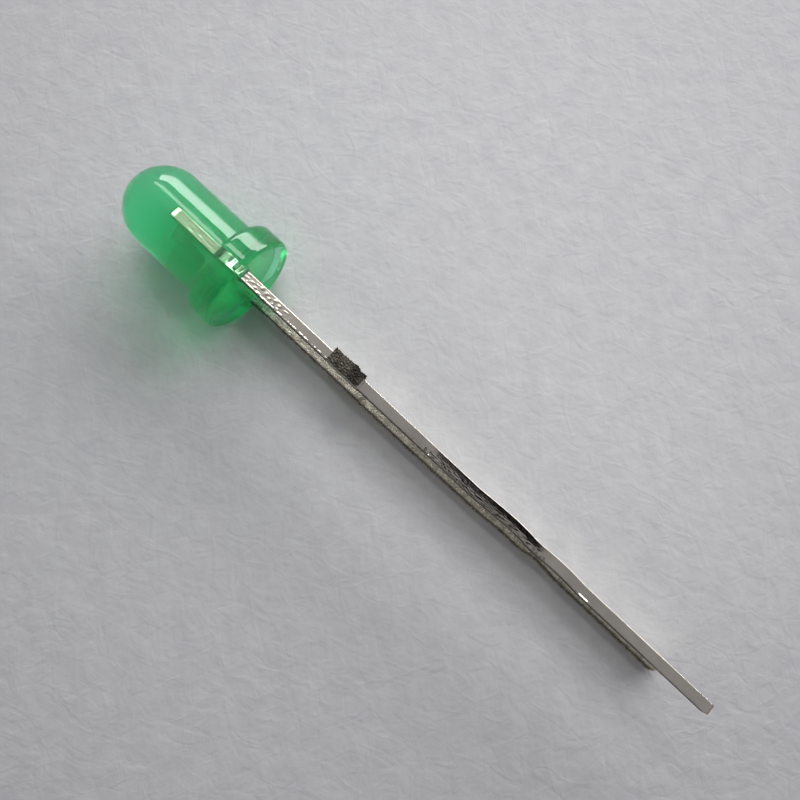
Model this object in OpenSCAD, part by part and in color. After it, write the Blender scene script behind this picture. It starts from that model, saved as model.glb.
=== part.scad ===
// A 3 mm through hole light-emitting diode: a lead frame, chip and bond wire cast into a tinted epoxy lens.
// X runs from the seat of the lens out through the dome, the leads run towards -X, and +Z is the anode side.
// The diode lies on the flat of its flange, so the plane of the two leads stands upright.

/* [Lens] */
// Diameter of the lens barrel and of its dome
barrel_d = 3; // [2.5:0.1:3.6]
// Height of the lens from its seat to the top of the dome
body_h = 5.5; // [4.5:0.1:7]
// Diameter of the flange
flange_d = 3.8; // [3.6:0.1:4.6]
// Thickness of the flange
flange_t = 1.1; // [0.9:0.05:1.6]
// Rounding of the two rims of the flange
rim_r = 0.1; // [0.04:0.01:0.2]
// Epoxy between the cathode lead and the flat that marks its side of the flange
flat_cover = 0.08; // [0.05:0.01:0.3]

/* [Leads] */
// Distance between the centres of the two leads
lead_pitch = 2.54; // [2.2:0.01:3.1]
// Width of a lead, across the pair
lead_w = 0.5; // [0.4:0.01:0.6]
// Thickness of the sheet that the lead frame is stamped from
sheet_t = 0.35; // [0.3:0.01:0.45]
// Length of the anode lead from the seat to its tip
anode_len = 19.7; // [16:0.1:29]
// Length of the cathode lead from the seat to its tip
cathode_len = 18.7; // [16:0.1:28]

/* [Tie bar stubs] */
// Distance from the seat to the sheared stubs of the tie bar
stub_from_seat = 3.95; // [2:0.05:6]
// Length of a stub along its lead
stub_len = 1.33; // [0.8:0.01:2]
// How far the stub on the outer edge of the anode lead stands proud
anode_stub_h = 0.2; // [0.05:0.01:0.4]
// How far the stub on the outer edge of the cathode lead stands proud
cathode_stub_h = 0.08; // [0.03:0.01:0.4]
// How far the stubs between the two leads stand proud
inner_stub_h = 0.12; // [0.05:0.01:0.3]
// Overhang of an outer stub where the punch left the sheet
burr_exit = 0.13; // [0.02:0.01:0.2]
// Overhang of an outer stub where the punch entered the sheet
burr_entry = 0.03; // [0.01:0.01:0.1]

/* [Inside the lens] */
// Epoxy between the side of the barrel and the two posts
post_cover = 0.22; // [0.15:0.01:0.4]
// Width of the anode post
post_w = 0.48; // [0.3:0.01:0.6]
// Epoxy above the top of the anode post
top_cover = 2.25; // [2:0.05:3]
// Rounding of the top corners of the anode post
post_r = 0.1; // [0.04:0.01:0.15]
// Gap between the anode post and the anvil of the cathode
anvil_gap = 0.34; // [0.2:0.01:0.5]
// Drop from the top of the anode post to the rim of the reflector cup
cup_drop = 0.25; // [0.1:0.01:0.5]
// Outer diameter of the reflector cup
cup_d = 0.74; // [0.6:0.01:0.9]
// Length of the round neck that the cup is pressed into
cup_neck = 0.5; // [0.35:0.01:0.7]
// Depth of the reflector cup
cup_depth = 0.22; // [0.15:0.01:0.3]
// Diameter of the cup at its rim
cup_rim_d = 0.6; // [0.5:0.01:0.66]
// Diameter of the floor of the cup
cup_floor_d = 0.36; // [0.34:0.01:0.45]
// Width of the square chip
chip_w = 0.2; // [0.15:0.01:0.22]
// Thickness of the chip
chip_t = 0.12; // [0.08:0.01:0.15]
// Diameter of the spot of adhesive under the chip
glue_d = 0.3; // [0.29:0.01:0.33]
// Thickness of the adhesive under the chip
glue_t = 0.02; // [0.01:0.005:0.04]
// Diameter of the bond wire
wire_d = 0.03; // [0.025:0.005:0.05]
// Diameter of the ball and of the stitch at the ends of the bond wire
bond_d = 0.09; // [0.07:0.01:0.12]
// Thickness of the ball and of the stitch
bond_t = 0.03; // [0.03:0.005:0.05]
// Distance of the stitch from the inner edge of the anode post
stitch_inset = 0.14; // [0.12:0.01:0.2]

/* [Hidden] */
$fn = 96;

barrel_r = barrel_d / 2;
flange_r = flange_d / 2;

// Each lead is a straight strip that steps in to its post inside the flange.
lead_in = (lead_pitch - lead_w) / 2;
lead_out = (lead_pitch + lead_w) / 2;
flat_to_axis = lead_out + flat_cover;
step_cover = 0.15;
step_len = 0.5;
step_end = flange_t - step_cover;
step_start = step_end - step_len;
// The outer edge of a strip turns in a little later than its inner edge, which keeps its width round the step.
step_lag = 0.1;
post_out = barrel_r - post_cover;
post_in = post_out - post_w;
post_top = body_h - top_cover;
pad_in = 0.08;
pad_h = 0.3;

// The anvil widens from the cathode post towards the axis and carries the reflector cup at its top.
cup_top = post_top - cup_drop;
cup_floor = cup_top - cup_depth;
anvil_in = post_in - anvil_gap;
anvil_full = cup_top - cup_neck;
anvil_foot = step_end + step_lag;

chip_base = cup_floor + glue_t;
chip_top = chip_base + chip_t;
stitch_z = post_in - pad_in + stitch_inset;

// The bond wire leaves the ball along the axis and follows one arc over to the stitch.
wire_start = chip_top + bond_t / 2;
wire_end = post_top + bond_t / 2;
wire_rise = wire_end - wire_start;
loop_r = (wire_rise * wire_rise + stitch_z * stitch_z) / (2 * stitch_z);
wire_end_angle = atan2(stitch_z - loop_r, wire_rise);

// Sideways kinks of the leads, as pairs of a distance from the seat and an offset along Y.
anode_kinks = [
    [10.2, 0], [11.5, -0.075], [12.1, -0.075], [12.7, -0.03], [13.4, -0.07], [14, -0.07], [14.6, -0.03]
];
anode_tip_y = -0.04;
cathode_kinks = [
    [5.6, 0], [8.8, -0.035], [11.2, -0.075], [11.8, -0.14],
    [12.8, -0.14], [13.25, -0.25], [13.6, -0.25], [14.3, -0.19]
];
cathode_tip_y = -0.175;
// Length and width that are certain to pass right through a piece when it is cut or drawn out
clear = 10;

// The strip seen along Z: straight inside the lens and kinked outside, with the thickness of the sheet.
function path(kinks, length, tip_y) = concat([[-clear, 0], [0, 0]], kinks, [[length, tip_y]]);
function side(route, shift) = [for (p = route) [-p[0], p[1] + shift]];
function turned(points) = [for (i = [len(points) - 1 : -1 : 0]) points[i]];

module kinked_sheet(route) {
    translate([0, 0, -clear / 2])
        linear_extrude(height = clear)
            polygon(concat(side(route, sheet_t / 2), turned(side(route, -sheet_t / 2))));
}

// The strip seen along Y, drawn on the plane of the lead frame and given more than its thickness.
module stamped() {
    rotate([90, 0, 0])
        translate([0, 0, -clear / 2])
            linear_extrude(height = clear)
                children();
}

// A box from one corner to the opposite one
module block(low, high) {
    translate(low)
        cube(high - low);
}

// Outline of a lead on the plane of the frame, from its tip to the step inside the flange
module strip_outline(length) {
    polygon([
        [-length, lead_in],
        [-stub_from_seat - stub_len, lead_in],
        [-stub_from_seat - stub_len, lead_in - inner_stub_h],
        [-stub_from_seat, lead_in - inner_stub_h],
        [-stub_from_seat, lead_in],
        [step_start, lead_in],
        [step_end, post_in],
        [step_end + step_lag, post_in],
        [step_end + step_lag, post_out],
        [step_start + step_lag, lead_out],
        [-length, lead_out]
    ]);
}

// Outline of the anode post, with rounded shoulders and a pad for the stitch that reaches towards the chip
module post_outline() {
    pad_z = post_in - pad_in;
    pad_w = post_out - pad_z;
    translate([step_end, post_in])
        square([post_top - post_r - step_end, post_w]);
    translate([post_top - pad_h, pad_z])
        square([pad_h - post_r, pad_w]);
    translate([post_top - post_r - post_r, pad_z + post_r])
        square([2 * post_r, pad_w - 2 * post_r]);
    for (z = [pad_z + post_r, post_out - post_r])
        translate([post_top - post_r, z])
            circle(r = post_r);
}

// Outline of the cathode post and its anvil, drawn with the cathode side up like the anode
module anvil_outline() {
    polygon([
        [step_end, post_out],
        [step_end, post_in],
        [anvil_foot, post_in],
        [anvil_full, -anvil_in],
        [cup_top, -anvil_in],
        [cup_top, post_out]
    ]);
}

// Sheared stub of the tie bar on the outer edge of a lead, spread over both faces of the sheet
module outer_stub(height) {
    block(
        [-stub_from_seat - stub_len, -sheet_t / 2 - burr_exit, lead_out - burr_exit],
        [-stub_from_seat, sheet_t / 2 + burr_entry, lead_out + height]
    );
}

module anode_lead() {
    color("#b4b0a8") {
        intersection() {
            stamped() {
                strip_outline(anode_len);
                post_outline();
            }
            kinked_sheet(path(anode_kinks, anode_len, anode_tip_y));
        }
        outer_stub(anode_stub_h);
    }
}

module cathode_lead() {
    color("#b4b0a8")
        difference() {
            union() {
                intersection() {
                    mirror([0, 0, 1])
                        stamped() {
                            strip_outline(cathode_len);
                            anvil_outline();
                        }
                    kinked_sheet(path(cathode_kinks, cathode_len, cathode_tip_y));
                }
                mirror([0, 0, 1])
                    outer_stub(cathode_stub_h);
                translate([anvil_full, 0, 0])
                    rotate([0, 90, 0])
                        cylinder(d = cup_d, h = cup_neck);
            }
            cup_recess();
        }
}

// The reflector cup: a cone that opens towards the dome
module cup_recess() {
    translate([cup_floor, 0, 0])
        rotate([0, 90, 0])
            cylinder(d1 = cup_floor_d, d2 = cup_rim_d, h = cup_depth);
}

module chip_adhesive() {
    color("#c9c6bd")
        translate([cup_floor, 0, 0])
            rotate([0, 90, 0])
                cylinder(d = glue_d, h = glue_t);
}

module led_chip() {
    color("#c8b45a")
        block([chip_base, -chip_w / 2, -chip_w / 2], [chip_top, chip_w / 2, chip_w / 2]);
}

module bond_wire() {
    color("#d9b44a") {
        translate([chip_top, 0, 0])
            rotate([0, 90, 0])
                cylinder(d = bond_d, h = bond_t);
        translate([post_top, 0, stitch_z])
            rotate([0, 90, 0])
                cylinder(d = bond_d, h = bond_t);
        translate([wire_start, 0, loop_r])
            rotate([90, 0, 0])
                rotate([0, 0, -90])
                    rotate_extrude(angle = 90 + wire_end_angle)
                        translate([loop_r, 0])
                            circle(d = wire_d);
    }
}

// Half section of the lens: the radius runs along the first axis and the height along the second
module lens_section() {
    dome_base = body_h - barrel_r;
    square([barrel_r, dome_base]);
    intersection() {
        translate([0, dome_base])
            circle(r = barrel_r);
        translate([0, dome_base])
            square([barrel_r, barrel_r]);
    }
    square([flange_r - rim_r, flange_t]);
    translate([0, rim_r])
        square([flange_r, flange_t - 2 * rim_r]);
    for (height = [rim_r, flange_t - rim_r])
        translate([flange_r - rim_r, height])
            circle(r = rim_r);
}

// The casting closes round everything that it holds, so its cavities are those pieces themselves
module epoxy_lens() {
    color("#2fa862", 0.8)
        difference() {
            rotate([0, 90, 0])
                rotate_extrude()
                    lens_section();
            block([-clear, -clear, -flat_to_axis - clear], [clear, clear, -flat_to_axis]);
            anode_lead();
            cathode_lead();
            chip_adhesive();
            led_chip();
            bond_wire();
        }
}

epoxy_lens();
anode_lead();
cathode_lead();
led_chip();
chip_adhesive();
bond_wire();
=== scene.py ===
"""A 3 mm green through hole diode lying on pale paper: its looks, in metres, on the CAD model's frame.

X runs from the seat of the lens out through the dome, the leads run towards -X, and +Z is the anode side.
"""

from math import radians

import bmesh
import bpy
import numpy as np
from mathutils import Matrix, Vector


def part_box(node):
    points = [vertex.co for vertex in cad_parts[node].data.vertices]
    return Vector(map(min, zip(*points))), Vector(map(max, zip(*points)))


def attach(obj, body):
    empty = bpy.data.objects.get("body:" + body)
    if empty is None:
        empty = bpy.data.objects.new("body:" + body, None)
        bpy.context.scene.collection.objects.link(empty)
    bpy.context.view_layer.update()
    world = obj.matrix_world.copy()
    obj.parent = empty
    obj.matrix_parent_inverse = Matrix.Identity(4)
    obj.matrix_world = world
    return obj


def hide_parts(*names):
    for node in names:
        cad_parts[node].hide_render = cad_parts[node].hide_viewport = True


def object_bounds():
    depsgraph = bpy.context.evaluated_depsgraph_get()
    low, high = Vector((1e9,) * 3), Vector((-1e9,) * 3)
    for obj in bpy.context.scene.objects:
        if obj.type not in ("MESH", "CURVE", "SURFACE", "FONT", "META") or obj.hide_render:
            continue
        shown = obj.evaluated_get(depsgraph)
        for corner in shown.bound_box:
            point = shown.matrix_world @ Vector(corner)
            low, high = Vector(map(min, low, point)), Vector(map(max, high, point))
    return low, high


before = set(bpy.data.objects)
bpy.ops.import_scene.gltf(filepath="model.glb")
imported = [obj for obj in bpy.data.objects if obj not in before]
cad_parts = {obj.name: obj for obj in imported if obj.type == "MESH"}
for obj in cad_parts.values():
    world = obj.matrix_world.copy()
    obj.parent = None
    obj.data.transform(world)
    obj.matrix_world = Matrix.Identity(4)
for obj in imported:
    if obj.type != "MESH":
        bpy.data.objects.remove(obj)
cad_bounds = [list(corner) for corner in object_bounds()]

# ---------------------------------------------------------------- anode lead
# The long lead: one strip of mild steel sheet, stamped with its post as part of a lead frame, plated, and
# dipped in tin. Its two narrow faces are the sheared ones. The tie bar to the next lead was cut off and left
# a stub.
MM = 0.001
# Sizes in mm: the strip outside the lens, the narrower post inside it, and the step between them
sheet_t = 0.35
lead_w = 0.5
lead_pitch = 2.54
lead_in = (lead_pitch - lead_w) / 2
lead_out = (lead_pitch + lead_w) / 2
post_in = 0.80
post_out = 1.28
step_start = 0.45
step_end = 0.95
step_lag = 0.1
# The pad at the end of the post, which takes the wire's stitch
pad_depth = 0.08
pad_length = 0.3
# Radii of the corners and ends
burr_r = 0.012
inner_r = 0.03
end_r = 0.06
post_end_r = 0.1
# The stub: its two ends along X, how deep its overhang starts, its corners, and how far it stands out past
# the -Y side, the +Y side, the inner edge and the outer edge
stub_start = -3.95
stub_end = -5.28
stub_foot = 0.13
stub_corner = 0.012
stub_exit = 0.13
stub_entry = 0.03
inner_stub = 0.12
anode_stub = 0.2
# How far the middle of the strip strays along Y, at places along X
anode_kinks = (
    (-19.7, -0.04), (-14.6, -0.03), (-14, -0.07), (-13.4, -0.07), (-12.7, -0.03), (-12.1, -0.075),
    (-11.5, -0.075), (-10.2, 0), (0, 0),
)
# How far along X the kinks and the step are rounded, each way
kink_soft = 0.15
step_soft = 0.08
far_off = 99
# Heights of what the tools and the tin left on the outer edge, and widths of what lies along its +Y side
tear_grain = 0.012
tear_wave = 0.03
lump_h = 0.014
dimple_h = 0.0022
streak_h = 0.0015
least_burr_h = 0.0015
burr_h = 0.018
burr_from_edge = 0.024
burr_w = 0.015
drag_h = 0.0055
drag_w = 0.16
flake_h = 0.034
flake_w = 0.062
stub_grain = 0.014
# Slopes of the nipped places
post_nip = 0.29
flange_nip = 0.27
# Length of the cut tip, and place along X where the silver plating starts
cut_tip = 0.055
plated_from = 0.05
dice = np.random.default_rng(3)


def linear(hex_colour):
    """Linear RGBA of an sRGB hex colour: the sRGB curve is undone, a 2.4 power above its straight toe."""
    srgb = np.array([int(hex_colour[i:i + 2], 16) / 255 for i in (1, 3, 5)])
    rgb = np.where(srgb > 0.04045, ((srgb + 0.055) / 1.055) ** 2.4, srgb / 12.92)
    return (*rgb.tolist(), 1)


def node(tree, kind, inputs=None, **settings):
    """Adds a shader node, sets its properties, and gives each input a value or a link from a socket.

    Map Range and Mix are given by number: 1 and 2 are the range read and 3 and 4 the range it becomes, and 0
    is the share of the second of the two colours, 6 and 7.
    """
    new = tree.nodes.new("ShaderNode" + kind)
    for name, value in settings.items():
        setattr(new, name, value)
    for name, value in (inputs or {}).items():
        if isinstance(value, bpy.types.NodeSocket):
            tree.links.new(value, new.inputs[name])
        else:
            new.inputs[name].default_value = value
    return new


def material(name):
    """An empty node material, its tree and its output."""
    new = bpy.data.materials.new(name)
    new.use_nodes = True
    new.node_tree.nodes.clear()
    return new, new.node_tree, node(new.node_tree, "OutputMaterial")


def skin(name, rings, poles, materials, marks=None):
    """Closed skin over a stack of rings in mm: quads join each ring to the next, and a fan closes each end.

    Rings follow each other along a path and run anticlockwise seen from its far end, so that faces point
    outwards. marks gives each quad the number of its material. Points that fall together are merged.
    """
    rows, around = rings.shape[:2]
    points = np.concatenate([rings.reshape(-1, 3), np.asarray(poles, float)]) * MM
    ring, step = np.meshgrid(np.arange(rows - 1), np.arange(around), indexing="ij")
    after = (step + 1) % around
    here = ring * around
    quads = np.stack([here + step, here + after, here + around + after, here + around + step], -1)
    last = (rows - 1) * around
    turn = np.arange(around)
    first_pole = np.full(around, rows * around)
    low_fan = np.stack([first_pole, (turn + 1) % around, turn], -1)
    high_fan = np.stack([first_pole + 1, last + turn, last + (turn + 1) % around], -1)
    mesh = bpy.data.meshes.new(name)
    faces = quads.reshape(-1, 4).tolist() + low_fan.tolist() + high_fan.tolist()
    mesh.from_pydata(points.tolist(), [], faces)
    for finish in materials:
        mesh.materials.append(finish)
    if marks is not None:
        ends = np.repeat([marks[0, 0], marks[-1, 0]], around)
        mesh.polygons.foreach_set("material_index", np.concatenate([marks.ravel(), ends]))
    merged = bmesh.new()
    merged.from_mesh(mesh)
    bmesh.ops.remove_doubles(merged, verts=merged.verts, dist=1e-8)
    merged.to_mesh(mesh)
    merged.free()
    mesh.shade_smooth()
    piece = bpy.data.objects.new(name, mesh)
    bpy.context.scene.collection.objects.link(piece)
    return piece


def mean_of_shifts(x, points, reach):
    """Height at each x of a line through points: the mean of shifts within reach, which rounds its bends."""
    shifts = np.linspace(-reach, reach, 7)
    spots, heights = np.array(points, float).T
    return np.mean([np.interp(x + shift, spots, heights) for shift in shifts], axis=0)


def inset(x, end, radius):
    """How far a rounded end draws in at each x: radius less the height of its quarter circle there."""
    depth = np.clip(radius - np.abs(end - x), 0, radius)
    return radius - np.sqrt(radius**2 - depth**2)


def stations(*stretches):
    """Places along X in mm, from stretches of (start, end, spacing), with no place twice."""
    runs = [np.linspace(a, b, int(round(abs(b - a) / gap)) + 1) for a, b, gap in stretches]
    return np.unique(np.round(np.concatenate(runs), 5))


def ripple(along, across, length, width):
    """Soft random waves, mostly from -1 to 1: a sum of cosines with pitches near the given length and width.

    Each cosine runs in a random direction of the surface, from a random phase.
    """
    count = 24
    turns, phases = dice.uniform(0, 2 * np.pi, (2, count))
    total = 0
    for turn, phase, pitch in zip(turns, phases, dice.uniform(0.7, 1.5, count)):
        waves = np.cos(turn) * along / length + np.sin(turn) * across / width
        total = total + np.cos(2 * np.pi * pitch * waves + phase)
    return total / 5


def smooth(x, start, end):
    """A step from 0 at start to 1 at end, along 3t^2 - 2t^3."""
    share = np.clip((x - start) / (end - start), 0, 1)
    return share * share * (3 - 2 * share)


def between(x, start, full, fading, end):
    """1 from full to fading and 0 outside start to end: a soft step up times a soft step down."""
    return smooth(x, start, full) * smooth(-x, -end, -fading)


# Ways round the section of a lead, from the foot of its -Y side: up it, out round the overhang of the stub,
# over the outer edge, down the +Y side and back along the inner edge. Each corner has its way in before it.
WAYS = np.array([[0, 1], [-1, 0], [0, 1], [1, 0], [0, -1], [-1, 0], [0, -1], [-1, 0]], float)
# Each corner is cut into so many parts
BENDS = 4
# Numbers of the corners and runs that make up the outer edge, the -Y and +Y sides, and the inner edge
OUTER = (6, 7, 8)
SIDES = (1, 13)
INNER = (14, 15, 0)


def lead_rings(side, x, mid, inner, outer, on, height, spill, roll_r, ledge, side_cuts):
    """Rings of a lead in mm, and the number of the stretch of the section that each point of a ring is on.

    A ring is a rectangle of the sheet's thickness between the inner and the outer edge, both counted outwards
    from the middle of the pair. Where on is 1 it grows the stub, which spills over the -Y side. Elsewhere a
    ledge may stand out at the outer edge of the +Y side. Each corner is a quarter circle: centre + r sin(a)
    way_in - r cos(a) way_out. The runs between them are cut into equal parts. Corners have even numbers and
    the runs after them odd ones.
    """
    half = sheet_t / 2 - inset(x, x[0], end_r) - inset(x, x[-1], end_r)
    low = mid - half
    high = mid + half
    top = outer + height * on
    low_foot = outer - np.where(on > 0, stub_foot, roll_r)
    high_foot = outer - np.where(on > 0, stub_foot, max(burr_r, 1.5 * ledge))
    far = low - spill * on
    near = high + np.where(on > 0, stub_entry, ledge)
    spots = ((low, inner), (low, low_foot), (far, low_foot), (far, top), (near, top), (near, high_foot),
             (high, high_foot), (high, inner))
    corners = np.stack([np.stack(spot, -1) for spot in spots], 1)
    full = np.ones_like(x)
    small = np.where(on > 0, stub_corner, 0.1 * ledge)
    radii = np.stack([inner_r * full, small, small, np.where(on > 0, stub_corner, roll_r),
                      np.where(on > 0, stub_corner, burr_r), small, small, inner_r * full], 1)
    radii = np.minimum(radii, 0.9 * half[:, None])
    # So many parts for the run after each corner. The outer edge has many, for its lumps and burrs
    cuts = (side_cuts, 3, 6, 24, 6, 3, side_cuts, 10)
    rows = []
    parts = []
    turn = np.linspace(0, np.pi / 2, BENDS + 1)[None, :, None]
    for number, cut in enumerate(cuts):
        way_in, way_out = WAYS[number - 1], WAYS[number]
        r = radii[:, number, None, None]
        centre = corners[:, number, None] + r * (way_out - way_in)
        bend = centre + r * (np.sin(turn) * way_in - np.cos(turn) * way_out)
        after = (number + 1) % len(cuts)
        goal = corners[:, after, None] - radii[:, after, None, None] * way_out
        share = (np.arange(1, cut) / cut)[None, :, None]
        rows += [bend, bend[:, -1:] + share * (goal - bend[:, -1:])]
        parts += [2 * number] * (BENDS + 1) + [2 * number + 1] * (cut - 1)
    flat = np.concatenate(rows, axis=1)
    parts = np.array(parts)
    spread = np.broadcast_to(x[:, None], flat.shape[:2])
    rings = np.stack([spread, flat[..., 0], side * flat[..., 1]], -1)
    if side > 0:
        rings, parts = rings[:, ::-1], parts[::-1]
    return rings.copy(), parts


def lead_marks(x, parts, on):
    """Number of the finish of each quad of a lead.

    0 is a sheared and tinned edge, 1 the -Y side, 2 the bare cut of the stub, 3 the cut tip, 4 the plated
    post and 5 the +Y side. A quad belongs to a side if both of its points do.
    """
    low_side, high_side = (np.isin(parts, side) & np.isin(np.roll(parts, -1), side) for side in SIDES)
    edge = np.isin(parts, OUTER) & np.isin(np.roll(parts, -1), OUTER)
    here = x[:-1, None]
    marks = np.where(low_side, 1, np.where(high_side, 5, 0)) + 0 * here.astype(int)
    marks = np.where(edge & (on[:-1, None] * on[1:, None] > 0), 2, marks)
    marks = np.where(here < x[0] + cut_tip, 3, marks)
    return np.where(here > plated_from, 4, marks)


def grained_finish(name, grit, gloss, relief, tones, metallic=1.0, drift=0.9, glancing="#ffffff"):
    """A metal, or a crystal where metallic is 0: its tone drifts, and its roughness and relief have a grain.

    grit is the size of the grain and drift that of the patches of tone, both in mm. gloss is the least and
    the most roughness, and relief the height of the bump in mm. glancing tints mirroring at a low angle.
    """
    finish, tree, output = material(name)
    place = node(tree, "TexCoord").outputs["Object"]
    fine = node(tree, "TexNoise", {"Vector": place, "Scale": 1 / (grit * MM), "Detail": 3.0})
    broad = node(tree, "TexNoise", {"Vector": place, "Scale": 1 / (drift * MM), "Detail": 2.0})
    share = node(tree, "MapRange", {"Value": broad.outputs[0], 1: 0.35, 2: 0.65})
    shade = node(tree, "Mix", {
        0: share.outputs[0], 6: linear(tones[0]), 7: linear(tones[1]),
    }, data_type="RGBA")
    rough = node(tree, "MapRange", {"Value": fine.outputs[0], 1: 0.3, 2: 0.7, 3: gloss[0], 4: gloss[1]})
    bump = node(tree, "Bump", {"Height": fine.outputs[0], "Strength": 1.0, "Distance": relief * MM})
    metal = node(tree, "BsdfPrincipled", {
        "Base Color": shade.outputs[2], "Metallic": metallic, "Roughness": rough.outputs[0],
        "Normal": bump.outputs[0], "Specular Tint": linear(glancing),
    })
    tree.links.new(metal.outputs[0], output.inputs["Surface"])
    return finish


# Bright hot dipped tin: nearly white, slightly warm, and glossy enough to mirror what is above it
tinned = grained_finish("hot_dipped_tin", 0.08, (0.04, 0.09), 0.0004, ("#e4ddd2", "#dad2c6"))
# The short lead's tin set with a finer, duller grain
dull = grained_finish("dull_hot_dipped_tin", 0.05, (0.2, 0.36), 0.0095, ("#dad5c7", "#aca79a"), drift=0.22)
# The rolled sides took a thin, even coat, which is greyer and a little less glossy
rolled = grained_finish("thinly_tinned_rolled_face", 0.06, (0.08, 0.16), 0.0004, ("#c6c1b6", "#b0aba1"))
# Painted shade on the +Y side: a darker, duller grey, nearly black at a low angle, standing in for the
# shadowed paper it mirrors
painted_shade_side = grained_finish(
    "painted_shade_rolled_face", 0.05, (0.5, 0.75), 0.012, ("#8a857c", "#746f67"), glancing="#1c1a18",
)
# The shears tore the stub's steel: dark, matt and grainy
bare = grained_finish("sheared_bare_steel", 0.05, (0.35, 0.7), 0.012, ("#6a655c", "#3d3a36"))
# The copper flash under the tin shows where the end was cropped
cropped = grained_finish("cropped_end_copper_flash", 0.04, (0.25, 0.45), 0.003, ("#cdb48c", "#a88f6a"))
# Silver plating on the part that is moulded in, a little yellow with age
plated = grained_finish("aged_silver_plating", 0.1, (0.06, 0.12), 0.0004, ("#f6e6cc", "#eedcc0"))
lead_finishes = (tinned, rolled, bare, cropped, plated, painted_shade_side)

anode_tip, anode_top = (corner.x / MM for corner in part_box("anode_lead"))
x = stations(
    (anode_tip, anode_tip + end_r, 0.01), (anode_tip + end_r, stub_end - 0.01, 0.05),
    (stub_end - 0.01, stub_end, 0.01), (stub_end, stub_start, 0.02), (stub_start, stub_start + 0.01, 0.01),
    (stub_start + 0.01, anode_top - pad_length, 0.04),
    (anode_top - pad_length, anode_top - 0.02, 0.01), (anode_top - 0.02, anode_top, 0.002),
)
on = ((x >= stub_end) & (x <= stub_start)).astype(float)
mid = mean_of_shifts(x, anode_kinks, kink_soft)
pad = pad_depth * (x >= anode_top - pad_length)
corner = inset(x, anode_top, post_end_r) + inset(x, anode_tip, end_r)
inner = np.interp(x, (step_start, step_end), (lead_in, post_in)) - inner_stub * on - pad + corner
step = (
    (-far_off, lead_out), (step_start + step_lag, lead_out),
    (step_end + step_lag, post_out), (far_off, post_out),
)
outer = mean_of_shifts(x, step, step_soft) - corner
spill = stub_exit + (tear_grain * dice.normal(size=x.shape) + tear_wave * ripple(x, 0, 0.35, 1))
# The -Y corner of the outer edge rolls over, a little more on the lens's side of the stub
roll_r = 0.015 + 0.009 * smooth(x, stub_end, stub_start)
rings, parts = lead_rings(1, x, mid, inner, outer, on, anode_stub, spill, roll_r, 0, 6)
along, across = rings[..., 0], rings[..., 1]

# Three places slope to -Y, where the tools nipped the strip: the end of the post, and two in the flange.
# The outer edge sinks by its distance from the +Y side times the slope, and points below it by their share.
nip = post_nip * smooth(x, anode_top - 0.27, anode_top - 0.24)
nip += flange_nip * (between(x, 0.26, 0.3, 0.52, 0.58) + between(x, -0.02, 0.02, 0.17, 0.21))
share_up = (rings[..., 2] - inner[:, None]) / (outer - inner)[:, None]
from_high = (mid + sheet_t / 2)[:, None] - across
rings[..., 2] -= nip[:, None] * from_high * np.clip(share_up, 0, 1)

# Blobs of tin crowd the edge next to the lens and die away towards the stub
on_outer = np.isin(parts, OUTER)
crowd = between(x, -2.6, -0.8, -0.15, 0)[:, None]
lumps = np.clip(ripple(along, across, 0.24, 0.15) - 0.25, 0, None)
dimples = ripple(along, across, 0.11, 0.08)
rings[..., 2] += on_outer * crowd * (lump_h * lumps + dimple_h * dimples)

# The silver of the post is drawn into faint streaks along it
streaks = ripple(along, across, 0.7, 0.12)
rings[..., 2] += streak_h * on_outer * smooth(x, 0.6, 0.9)[:, None] * streaks

# A burr stands up in teeth along the +Y side of the outer edge, tallest between the lens and the stub
burr = least_burr_h + burr_h * between(x, -4.1, -3.8, 0, 0.3)
ridge = np.exp(-((from_high - burr_from_edge) / burr_w) ** 2)
teeth = np.maximum(dice.normal(size=x.shape), 0)
rings[..., 2] += on_outer * ridge * ((1 - on) * burr * teeth)[:, None]

# Before and along the bends the +Y half of the edge is gritty, where the shears dragged the tin
drag = drag_h * between(x, -13.3, -12.8, -8.5, -6.2)
grit = dice.normal(size=rings.shape[:2]) * np.clip(1.1 - from_high / drag_w, 0, 1)
rings[..., 2] += on_outer * drag[:, None] * grit

# A flake of tin stands up from the +Y corner just past the bends
flake = flake_h * between(x, -15.05, -14.9, -14.55, -14.4)
rings[..., 2] += on_outer * flake[:, None] * np.clip(1 - from_high / flake_w, 0, 1)

# The torn top of the stub is rough
grain = dice.normal(size=rings.shape[:2])
rings[..., 2] += stub_grain * on[:, None] * on_outer * grain

poles = [[x[0], mid[0], (inner[0] + outer[0]) / 2], [x[-1], 0, (inner[-1] + outer[-1]) / 2]]
anode = skin("anode_lead_strip", rings, poles, lead_finishes, lead_marks(x, parts, on))
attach(anode, "root")
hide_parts("anode_lead")

# -------------------------------------------------------------- cathode lead
# The short lead, of the same strip and tin. Its end in the lens is a broad anvil, and a round cup is coined
# into the anvil's top, to hold the chip and throw its light forwards.
cathode_stub = 0.08
cathode_kinks = (
    (-18.7, -0.175), (-14.3, -0.19), (-13.6, -0.25), (-13.25, -0.25), (-12.8, -0.14), (-11.8, -0.14),
    (-11.2, -0.075), (-8.8, -0.035), (-5.6, 0), (0, 0),
)
cathode_soft = 0.12
cathode_roll_r = 0.02
cathode_grain = 0.01
# The shears left a thin ledge at the outer edge of the +Y side
ledge = 0.05
wave_h = 0.0012
anvil_top = 2.5
neck_r = 0.37
cup_edge_r = 0.03
# Rings of the cup: radius, and place along X from its top
cup_profile = ((0.31, 0), (0.3, -0.005), (0.29, -0.02), (0.185, -0.21), (0.17, -0.22))

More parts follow.
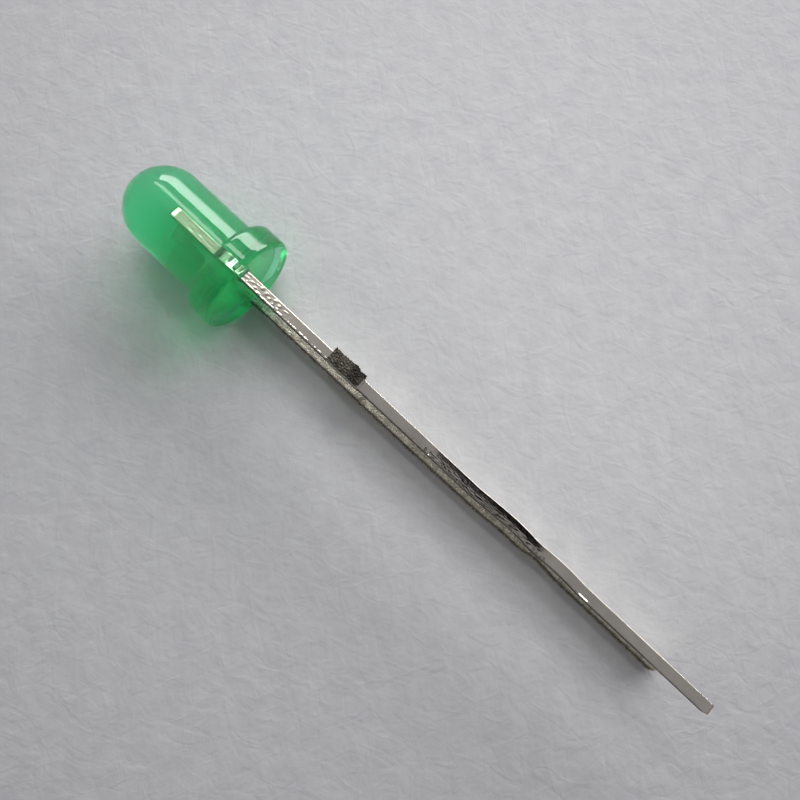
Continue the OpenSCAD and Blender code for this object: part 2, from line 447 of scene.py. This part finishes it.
cathode_tip, cup_top = (corner.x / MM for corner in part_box("cathode_lead"))
anvil_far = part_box("cathode_lead")[1].z / MM
x = stations(
    (cathode_tip, cathode_tip + end_r, 0.01), (cathode_tip + end_r, stub_end - 0.01, 0.06),
    (stub_end - 0.01, stub_end, 0.01), (stub_end, stub_start, 0.025), (stub_start, stub_start + 0.01, 0.01),
    (stub_start + 0.01, anvil_top - 0.2, 0.05), (anvil_top - 0.2, cup_top - 0.04, 0.02),
    (cup_top - 0.04, cup_top, 0.008),
)
on = ((x >= stub_end) & (x <= stub_start)).astype(float)
mid = mean_of_shifts(x, cathode_kinks, cathode_soft)
corner = inset(x, cathode_tip, end_r) + inset(x, cup_top, cup_edge_r)
bends = (step_start, step_end, step_end + step_lag, anvil_top)
inner = np.interp(x, bends, (lead_in, post_in, post_in, -anvil_far)) + corner - inner_stub * on
outer = np.interp(x, (step_start + step_lag, step_end + step_lag), (lead_out, post_out)) - corner
spill = stub_exit + cathode_grain * dice.normal(size=x.shape)
rings, parts = lead_rings(-1, x, mid, inner, outer, on, cathode_stub, spill, cathode_roll_r, ledge, 36)
along, across = rings[..., 0], rings[..., 1]

# The neck under the cup is round: its points stand out to the circle where the strip is thinner than it
swell = smooth(x, anvil_top - 0.15, anvil_top + 0.05)[:, None]
neck = swell * np.sqrt(np.clip(neck_r**2 - rings[..., 2] ** 2, 0, None))
neck = neck - inset(x, cup_top, cup_edge_r)[:, None]
neck = np.where(x[:, None] > anvil_top - 0.3, neck, 0)
rings[..., 1] = np.where(rings[..., 1] < 0, -1, 1) * np.maximum(np.abs(rings[..., 1]), neck)

# Outside the lens the tin lies in shallow waves on the inner edge, which faces up
on_inner = np.isin(parts, INNER)
outside = smooth(-x, 0, 0.3)[:, None]
rings[..., 2] += wave_h * outside * on_inner * ripple(along, across, 0.35, 0.14)
marks = lead_marks(x, parts, on)

# The cup goes on from the neck's last ring: each ring of its profile has the same directions round the axis
angle = np.arctan2(rings[-1, :, 2], rings[-1, :, 1])
cup_radius, cup_drop = np.array(cup_profile).T[:, :, None]
cup = np.stack([cup_top + cup_drop + 0 * angle, cup_radius * np.cos(angle), cup_radius * np.sin(angle)], -1)
rings = np.concatenate([rings, cup])
marks = np.concatenate([marks, np.repeat(marks[-1:], len(cup), axis=0)])
poles = [[x[0], mid[0], -(inner[0] + outer[0]) / 2], [cup_top + cup_profile[-1][1], 0, 0]]
cathode = skin("cathode_lead_strip", rings, poles, (dull, *lead_finishes[1:]), marks)
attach(cathode, "root")
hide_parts("cathode_lead")

# ---------------------------------------------------------------- epoxy lens
# One casting of green, slightly milky epoxy: a dome and barrel with a flange, cast dome down round the leads
# in a polished mould. The seat is the free face of the resin, dished, and drawn up round each lead.
lens_low, lens_high = (np.array(corner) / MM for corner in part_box("epoxy_lens"))
body_h = lens_high[0]
flange_r = lens_high[1]
flat_z = -lens_low[2]
barrel_r = 1.5
flange_t = 1.1
# The flange's edge is rounded at the seat and at its front, a cove joins it to the barrel, and the flat's
# edges are just broken
rim_r = 0.2
front_r = 0.26
cove = 0.1
flat_corner = 0.03
# How deep the seat is dished, how high the resin climbs each lead and how far that reaches. Both die away
# within seat_depth of the seat
dish = 0.05
climb = 0.15
climb_reach = 0.07
seat_depth = 0.05
# The seat's rough skin ends between these two places along X
skin_from = 0.07
skin_to = 0.13
seat_roughness = 0.09
mould_roughness = 0.035
# Scattering per mm, up to clear_to and from milky_from along X, and absorption per mm
clear_to = 0.6
milky_from = 2.8
clear_mist = 0.2
milky_mist = 0.72
dye = 1.15


def arc(centre, radius, start, end, count):
    """Points (x, r) on an arc: centre plus radius times (cos, sin) of an angle in degrees."""
    turn = np.radians(np.linspace(start, end, count))
    return np.stack([centre[0] + radius * np.cos(turn), centre[1] + radius * np.sin(turn)], -1)


# From the middle of the seat, round the flange and along the barrel, to just short of the dome's tip
profile = np.concatenate([
    np.linspace((0, 0.02), (0, flange_r - rim_r), 60)[:-1],
    arc((rim_r, flange_r - rim_r), rim_r, 180, 90, 14),
    np.linspace((rim_r, flange_r), (flange_t - front_r, flange_r), 14)[1:-1],
    arc((flange_t - front_r, flange_r - front_r), front_r, 90, 0, 16),
    np.linspace((flange_t, flange_r - front_r), (flange_t, barrel_r + cove), 4)[1:-1],
    arc((flange_t + cove, barrel_r + cove), cove, 180, 270, 9),
    np.linspace((flange_t + cove, barrel_r), (body_h - barrel_r, barrel_r), 48)[1:-1],
    arc((body_h - barrel_r, 0), barrel_r, 90, 0.7, 64),
])
along, radius = profile[:, :1], profile[:, 1:]
# Directions crowd towards the leads, at +Z and -Z
turn = np.linspace(0, 2 * np.pi, 289)[:-1]
turn = (turn + 0.25 * np.sin(2 * turn))[None, :]
# The flat cuts the flange at flat_z: the reach each way is a soft least of the radius and the way to the flat
down = -np.sin(turn)
to_flat = np.where(down > 0.05, flat_z / np.maximum(down, 0.05), far_off)
reach = 0.5 * (radius + to_flat - np.sqrt((radius - to_flat) ** 2 + flat_corner**2))
y = reach * np.cos(turn)
z = reach * np.sin(turn)
# The seat sinks by the dish towards the axis, and rises at each lead by a climb that dies away with distance
y_gap = np.maximum(np.abs(y) - sheet_t / 2, 0)
z_gap = np.maximum(np.abs(np.abs(z) - lead_pitch / 2) - lead_w / 2, 0)
from_lead = np.hypot(y_gap, z_gap)
rise = dish * (1 - (reach / flange_r) ** 2) - climb * np.exp(-from_lead / climb_reach)
x = along + np.where(along < seat_depth, rise * np.clip(1 - along / seat_depth, 0, 1), 0)
rings = np.stack([x, y, z], -1)

# Epoxy cast against polished steel is glossy, and duller on its free face. The dye and the diffusing powder
# in it give a milky green depth that pales where it is thin.
finish, tree, output = material("milky_tinted_epoxy")
place = node(tree, "TexCoord").outputs["Object"]
depth = node(tree, "SeparateXYZ", {0: place}).outputs[0]
gloss = node(tree, "MapRange", {
    "Value": depth, 1: skin_from * MM, 2: skin_to * MM, 3: seat_roughness, 4: mould_roughness,
})
glass = node(tree, "BsdfPrincipled", {
    "Base Color": linear("#e6fcf0"), "Roughness": gloss.outputs[0], "IOR": 1.53,
    "Transmission Weight": 1.0,
})
# The powder sank towards the dome before the resin set, so the flange is clearer
settled = node(tree, "MapRange", {
    "Value": depth, 1: clear_to * MM, 2: milky_from * MM, 3: clear_mist / MM, 4: milky_mist / MM,
})
mist = node(tree, "VolumeScatter", {
    "Color": linear("#ffffff"), "Density": settled.outputs[0], "Anisotropy": 0.5,
})
tint = node(tree, "VolumeAbsorption", {"Color": linear("#80f5da"), "Density": dye / MM})
both = node(tree, "AddShader", {0: mist.outputs[0], 1: tint.outputs[0]})
tree.links.new(glass.outputs[0], output.inputs["Surface"])
tree.links.new(both.outputs[0], output.inputs["Volume"])
lens = skin("epoxy_lens_casting", rings, [[dish, 0, 0], [body_h, 0, 0]], (finish,))
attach(lens, "root")
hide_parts("epoxy_lens")

# ---------------------------------------------------------------------- chip
# A square of gallium phosphide, 0.2 mm wide, sawn from its wafer and stuck down in the cup. A round contact
# of evaporated gold on its front takes the ball of the wire.
chip_low, chip_high = (np.array(corner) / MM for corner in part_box("led_chip"))
chip_half = chip_high[1]
saw_edge = 0.008
contact_r = 0.055
contact_t = 0.003
# Each ring of the chip: its place along X, its half width, and 1 where it is square or 0 where it is round
chip_rings = np.array([
    (chip_low[0], chip_half - saw_edge, 1), (chip_low[0] + saw_edge, chip_half, 1),
    (chip_high[0] - saw_edge, chip_half, 1), (chip_high[0], chip_half - saw_edge, 1),
    (chip_high[0], contact_r, 0), (chip_high[0] + contact_t, contact_r - contact_t, 0),
])
along, half, squareness = chip_rings.T[:, :, None]
turn = np.linspace(0, 2 * np.pi, 65)[:-1]
# A square with rounded corners is the curve where |y|^12 + |z|^12 is the same all round
square = (np.abs(np.cos(turn)) ** 12 + np.abs(np.sin(turn)) ** 12) ** (-1 / 12)
outline = half * (squareness * square + 1 - squareness)
rings = np.stack([along + 0 * turn, outline * np.cos(turn), outline * np.sin(turn)], -1)
# Amber crystal: glassy where it was cleaved, with the fine grain of the saw
die = grained_finish(
    "sawn_gallium_phosphide", 0.01, (0.2, 0.4), 0.0005, ("#c98a2e", "#a86c1f"), metallic=0.0,
)
# Evaporated gold: warm and mirror-like
gold = grained_finish("bright_gold", 0.02, (0.12, 0.22), 0.0002, ("#f2c464", "#e6b454"))
marks = np.zeros((len(rings) - 1, len(turn)), int)
marks[-1] = 1
chip_poles = [[chip_low[0], 0, 0], [chip_high[0] + contact_t, 0, 0]]
chip = skin("sawn_chip", rings, chip_poles, (die, gold), marks)
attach(chip, "root")
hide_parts("led_chip")

# ------------------------------------------------------------- chip adhesive
# A dot of silver-filled epoxy on the floor of the cup. The chip was pressed into it while it was wet, which
# squeezed it out past the chip's edges, and then it was cured.
glue_low, glue_high = (np.array(corner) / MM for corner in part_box("chip_adhesive"))
# Rings of the dot: share of its height, and share of its radius
glue_profile = np.array([(0, 0.97), (0.2, 1), (0.55, 0.96), (0.85, 0.86), (1, 0.72), (1, 0.3)])
turn = np.linspace(0, 2 * np.pi, 49)[:-1]
# Its outline swells and shrinks by up to 3%
spread = glue_high[1] * (0.97 + 0.03 * np.cos(3 * turn + 1) * np.cos(turn - 0.4))
outline = glue_profile[:, 1:] * spread
height = glue_low[0] + glue_profile[:, :1] * (glue_high[0] - glue_low[0])
rings = np.stack([height + 0 * turn, outline * np.cos(turn), outline * np.sin(turn)], -1)
# Silver flakes in resin: pale grey, with a dull metallic sparkle
flaked = grained_finish(
    "silver_filled_adhesive", 0.008, (0.35, 0.6), 0.001, ("#c9c6bd", "#a7a49b"), metallic=0.6,
)
adhesive = skin("adhesive_dot", rings, [[glue_low[0], 0, 0], [glue_high[0], 0, 0]], (flaked,))
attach(adhesive, "root")
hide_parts("chip_adhesive")

# ----------------------------------------------------------------- bond wire
# Drawn gold wire, 0.03 mm thick: a ball melted and pressed onto the chip, a loop over to the post, and a
# stitch squashed flat onto the post's pad.
loop_x = 2.935
loop_r = 0.493
loop_end = radians(140)
# (distance along the loop, half breadth along Y, half thickness): ball, neck, wire, stitch
wire_sizes = np.array([
    (-0.015, 0.028, 0.028), (-0.01, 0.041, 0.041), (0, 0.045, 0.045), (0.01, 0.041, 0.041),
    (0.015, 0.028, 0.028), (0.025, 0.018, 0.018), (0.05, 0.015, 0.015), (1.12, 0.015, 0.015),
    (1.17, 0.034, 0.009), (1.2, 0.044, 0.006),
])
reach = np.concatenate([np.linspace(-0.015, 0.05, 20)[:-1], np.linspace(0.05, 1.1, 60)[:-1],
                        np.linspace(1.1, loop_r * loop_end, 20)])
phi = (reach / loop_r)[:, None]
breadth = np.interp(reach, wire_sizes[:, 0], wire_sizes[:, 1])[:, None]
thickness = np.interp(reach, wire_sizes[:, 0], wire_sizes[:, 2])[:, None]
# The angle runs backwards, so that each ring is anticlockwise seen from the stitch
turn = np.linspace(0, -2 * np.pi, 17)[:-1][None, :]
rings = np.stack([
    loop_x + loop_r * np.sin(phi) + thickness * np.sin(turn) * np.sin(phi),
    breadth * np.cos(turn) + 0 * phi,
    loop_r * (1 - np.cos(phi)) - thickness * np.sin(turn) * np.cos(phi),
], -1)
ends = [rings[0].mean(axis=0).tolist(), rings[-1].mean(axis=0).tolist()]
wire = skin("bond_wire_loop", rings, ends, (gold,))
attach(wire, "root")
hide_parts("bond_wire")

# -------------------------------------------------------------------- paper
# The floor: a sheet of matt drawing paper, pressed smooth, with soft clumps of fibre half a millimetre wide.
# It lies a hair under the flat of the flange, so that no two faces share a plane.
floor_gap = 0.002
floor_z = cad_bounds[0][2] - floor_gap * MM
paper_half = 0.4
fibre_w = 0.5
fibre_length = 2.2
fibre_h = 0.016
cloud_w = 0.8
palest = (-4.5 * MM, -3.5 * MM, floor_z)
mesh = bpy.data.meshes.new("paper")
sheet = [(x, y, floor_z) for x, y in paper_half * np.array([(-1, -1), (1, -1), (1, 1), (-1, 1)])]
mesh.from_pydata(sheet, [], [(0, 1, 2, 3)])
paper = bpy.data.objects.new("paper", mesh)
bpy.context.scene.collection.objects.link(paper)
finish, tree, output = material("matt_paper")
place = node(tree, "TexCoord").outputs["Object"]
# Three lays of fibre at different angles are added up, each with clumps that are longer than they are wide
lay = None
for angle, count in ((20, 1.0), (75, 1.2), (140, 0.85)):
    turned = node(tree, "Mapping", {
        "Vector": place, "Rotation": (0, 0, radians(angle)), "Scale": (fibre_length, 1, 1),
    }, vector_type="TEXTURE")
    fibre = node(tree, "TexNoise", {
        "Vector": turned.outputs[0], "Scale": count / (fibre_w * MM), "Detail": 2.0, "Roughness": 0.5,
        "Distortion": 1.2,
    }).outputs[0]
    lay = fibre if lay is None else node(tree, "Math", {0: lay, 1: fibre}, operation="ADD").outputs[0]
cloud = node(tree, "TexNoise", {"Vector": place, "Scale": 1 / (cloud_w * MM), "Detail": 4.0})
bump = node(tree, "Bump", {"Height": lay, "Strength": 1.0, "Distance": fibre_h * MM})
pulp_tone = node(tree, "MapRange", {"Value": cloud.outputs[0], 1: 0.3, 2: 0.7})
tone = node(tree, "Mix", {
    0: pulp_tone.outputs[0], 6: linear("#b6b6ba"), 7: linear("#bebec0"),
}, data_type="RGBA")
# Painted shade: the sheet's colour is palest beside the part and greys away from there, for light that falls
# off away from it
away = node(tree, "VectorMath", {0: place, 1: palest}, operation="DISTANCE")
edge = node(tree, "MapRange", {
    "Value": away.outputs["Value"], 1: 5 * MM, 2: 27 * MM, 4: 0.3,
}, interpolation_type="SMOOTHSTEP")
painted_falloff = node(tree, "Mix", {0: edge.outputs[0], 6: tone.outputs[2], 7: linear("#6a686c")}, data_type="RGBA")
pulp = node(tree, "BsdfPrincipled", {
    "Base Color": painted_falloff.outputs[2], "Roughness": 0.9, "Normal": bump.outputs[0],
})
tree.links.new(pulp.outputs[0], output.inputs["Surface"])
mesh.materials.append(finish)

# -------------------------------------------------------------------- light
# A broad soft window low on the -Y side, a long tube above it, and a pale room round them. A small black card
# high over the bends is there for the leads to mirror, and it casts no shadow.


def area_lamp(name, lean, twist, distance, start, end, width, brightness, fade):
    """Long lamp, leaning so many degrees from straight up towards -Y, from start to end along X in metres.

    It is twisted by so many degrees about its own facing, and its lower side fades out over a share of its
    width. Its power is its brightness times pi times its area.
    """
    lamp = bpy.data.lights.new(name, "AREA")
    lamp.shape = "RECTANGLE"
    lamp.size = end - start
    lamp.size_y = width
    lamp.energy = brightness * np.pi * lamp.size * lamp.size_y
    lamp.use_nodes = True
    tree = lamp.node_tree
    tree.nodes.clear()
    across = node(tree, "SeparateXYZ", {0: node(tree, "NewGeometry").outputs["Parametric"]}).outputs[1]
    level = node(tree, "MapRange", {"Value": across, 1: 0.0, 2: fade}, interpolation_type="SMOOTHSTEP")
    glow = node(tree, "Emission", {"Strength": level.outputs[0]})
    node(tree, "OutputLight", {"Surface": glow.outputs[0]})
    holder = bpy.data.objects.new(name, lamp)
    bpy.context.scene.collection.objects.link(holder)
    rise = radians(lean)
    holder.location = ((start + end) / 2, -distance * np.sin(rise), distance * np.cos(rise))
    holder.rotation_mode = "ZYX"
    holder.rotation_euler = (rise, 0, radians(twist))
    holder.visible_camera = False


area_lamp("window", 70, 13, 0.14, -0.085, 0.175, 0.086, 8.0, 0.47)
area_lamp("tube", 29, 0, 0.15, 0.025, 0.175, 0.03, 4.8, 0.5)

# The card's height and corners in mm
flag_h = 25
flag_mesh = bpy.data.meshes.new("flag")
flag_corners = MM * np.array([
    (-17.1, -12, flag_h), (-7.4, -12, flag_h), (-8.4, -2.9, flag_h), (-17.1, -2.7, flag_h),
])
flag_mesh.from_pydata(flag_corners.tolist(), [], [(0, 1, 2, 3)])
flag = bpy.data.objects.new("flag", flag_mesh)
bpy.context.scene.collection.objects.link(flag)
finish, tree, output = material("black_card")
card = node(tree, "BsdfPrincipled", {
    "Base Color": linear("#101010"), "Roughness": 1.0, "Specular IOR Level": 0.0,
})
tree.links.new(card.outputs[0], output.inputs["Surface"])
flag_mesh.materials.append(finish)
flag.visible_camera = False
flag.visible_diffuse = False
flag.visible_shadow = False
flag.visible_transmission = False
flag.visible_volume_scatter = False

world = bpy.data.worlds.new("room")
bpy.context.scene.world = world
world.use_nodes = True
tree = world.node_tree
tree.nodes.clear()
look = node(tree, "TexCoord").outputs["Generated"]
split = node(tree, "SeparateXYZ", {0: look})
# The room is darker towards +Y and brighter ahead of the dome, with a pale patch high up ahead of the dome
side = node(tree, "MapRange", {"Value": split.outputs[1], 1: -0.4, 2: 0.75}, interpolation_type="SMOOTHSTEP")
wall = node(tree, "Mix", {0: side.outputs[0], 6: linear("#9a9a9d"), 7: linear("#4c4a48")}, data_type="RGBA")
front = node(tree, "MapRange", {"Value": split.outputs[0], 1: 0.0, 2: 0.7}, interpolation_type="SMOOTHSTEP")
wall = node(tree, "Mix", {0: front.outputs[0], 6: wall.outputs[2], 7: linear("#c8c8c6")}, data_type="RGBA")
facing = node(tree, "VectorMath", {0: look, 1: (0.64, -0.35, 0.68)}, operation="DOT_PRODUCT")
patch = node(tree, "MapRange", {
    "Value": facing.outputs["Value"], 1: 0.84, 2: 1.0,
}, interpolation_type="SMOOTHSTEP")
tone = node(tree, "Mix", {0: patch.outputs[0], 6: wall.outputs[2], 7: linear("#fffffb")}, data_type="RGBA")
# The camera itself sees an even, pale backdrop
seen = node(tree, "LightPath").outputs["Is Camera Ray"]
backdrop = node(tree, "Mix", {0: seen, 6: tone.outputs[2], 7: linear("#c4c3c5")}, data_type="RGBA")
sky = node(tree, "Background", {"Color": backdrop.outputs[2], "Strength": 1.0})
node(tree, "OutputWorld", {"Surface": sky.outputs[0]})
# Light may bounce often enough to cross the milky resin, and reflections stay as sharp as their finish
bpy.context.scene.cycles.blur_glossy = 0.0
bpy.context.scene.cycles.volume_bounces = 24
bpy.context.scene.cycles.max_bounces = 32
bpy.context.scene.cycles.transmission_bounces = 32

# ------------------------------------------------------------------- camera
# It looks down on the leads from 25 mm above the lens's axis, a little from the +Y side, with the dome at the
# upper left. So close, the dome and the tips look a little smaller than the middle.
eye = Vector((-8.646, 2.912, 24.926)) * MM
aim = Vector((-6.385, -0.701, 0)) * MM
picture_up = Vector((0.680, -0.714, 0.165))
camera = bpy.data.cameras.new("camera")
camera.angle = radians(55.85)
camera.clip_start = 1 * MM
holder = bpy.data.objects.new("camera", camera)
bpy.context.scene.collection.objects.link(holder)
bpy.context.scene.camera = holder
ahead = (aim - eye).normalized()
right = ahead.cross(picture_up).normalized()
up = right.cross(ahead)
holder.matrix_world = Matrix.Translation(eye) @ Matrix((right, up, -ahead)).transposed().to_4x4()

bpy.context.scene.view_settings.view_transform = "Standard"
